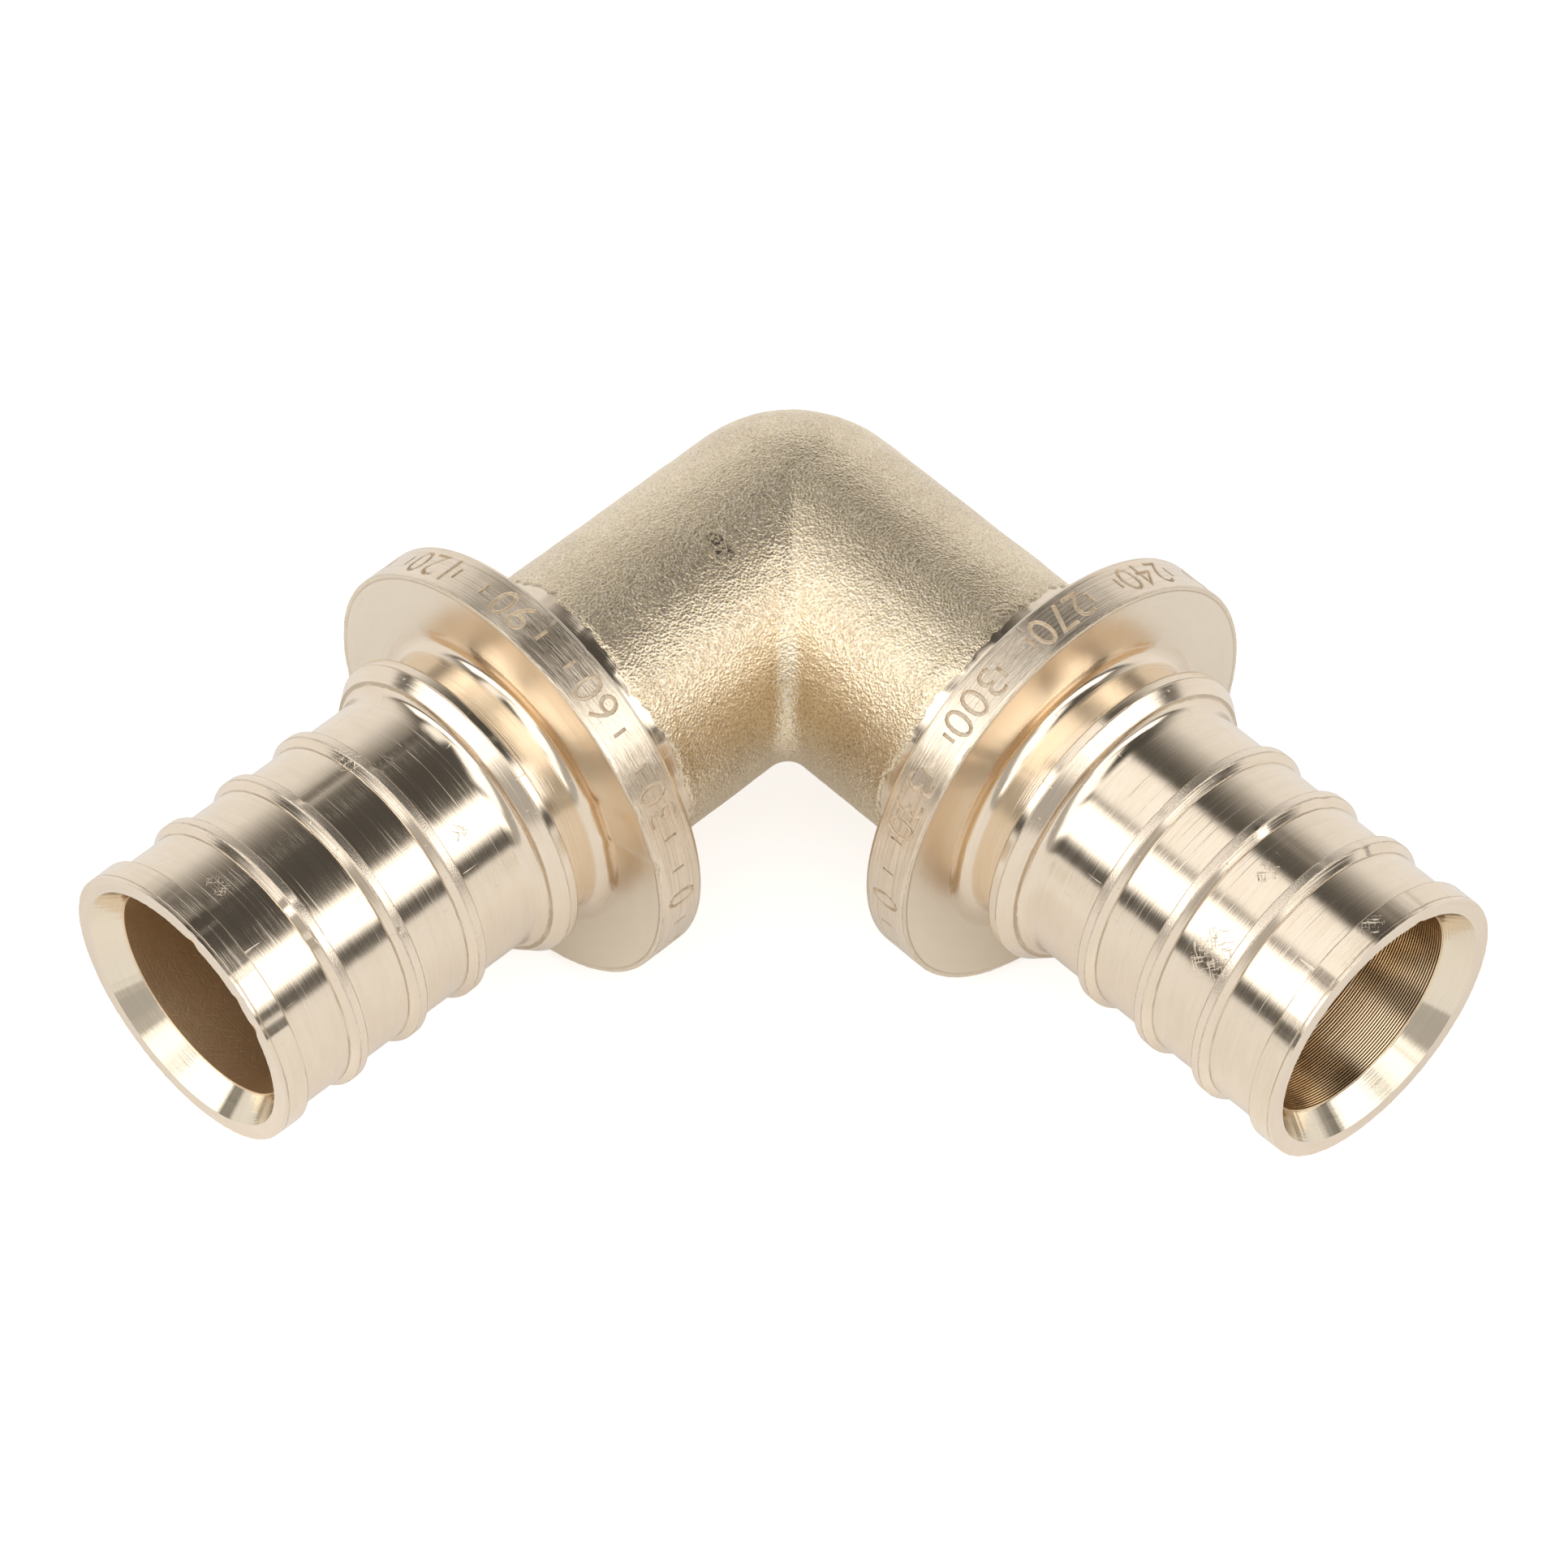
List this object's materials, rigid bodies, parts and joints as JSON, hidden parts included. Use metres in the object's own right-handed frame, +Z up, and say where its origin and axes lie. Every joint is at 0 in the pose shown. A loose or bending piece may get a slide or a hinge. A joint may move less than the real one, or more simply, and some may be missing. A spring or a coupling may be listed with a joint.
{
  "type": "sliding-sleeve pipe elbow",
  "caption": "Forged brass right-angle elbow with toothed tails and flanges, for widened plastic pipe held by sliding sleeves.",
  "frame": {"origin": "middle of the bounding box's underside, in the mirror plane between the tails", "axes": "+Z up, square to the plane of the two tail axes; +Y from the tails towards the corner; the tails leave the corner 45 degrees either side of -Y, the left one towards -X"},
  "size_m": [0.0988, 0.0605, 0.0337],
  "materials": {
    "brass": "shot-blasted at the corner, turned bright on the tails, flanges and bores"
  },
  "bodies": {
    "root": {"elbow_body": "brass"}
  },
  "joints": []
}
